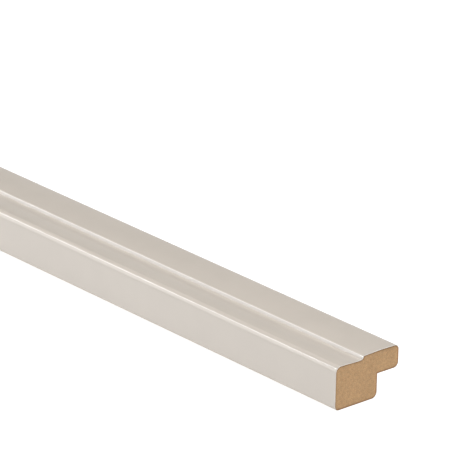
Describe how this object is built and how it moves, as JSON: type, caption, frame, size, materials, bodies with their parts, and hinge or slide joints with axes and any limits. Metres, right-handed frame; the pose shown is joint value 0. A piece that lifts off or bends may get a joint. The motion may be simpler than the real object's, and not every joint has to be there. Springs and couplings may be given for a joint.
{
  "type": "crown moulding",
  "caption": "Straight crown moulding with a stepped, softly rounded face and a rebate along its lower back that sits over a board's edge, lacquered, cut square at both ends.",
  "frame": {"origin": "centre of the footprint, on the plane that the underside rests on", "axes": "+X along the moulding's length, +Y from its front face to the back edge of its arm, +Z from its underside to its top"},
  "size_m": [0.5, 0.06, 0.036],
  "materials": {
    "lacquer": "smooth semi-gloss lacquer in a warm stone colour, over MDF",
    "raw_mdf": "bare sawn MDF, matt"
  },
  "bodies": {
    "root": {"crown_moulding": "lacquer"}
  },
  "joints": []
}
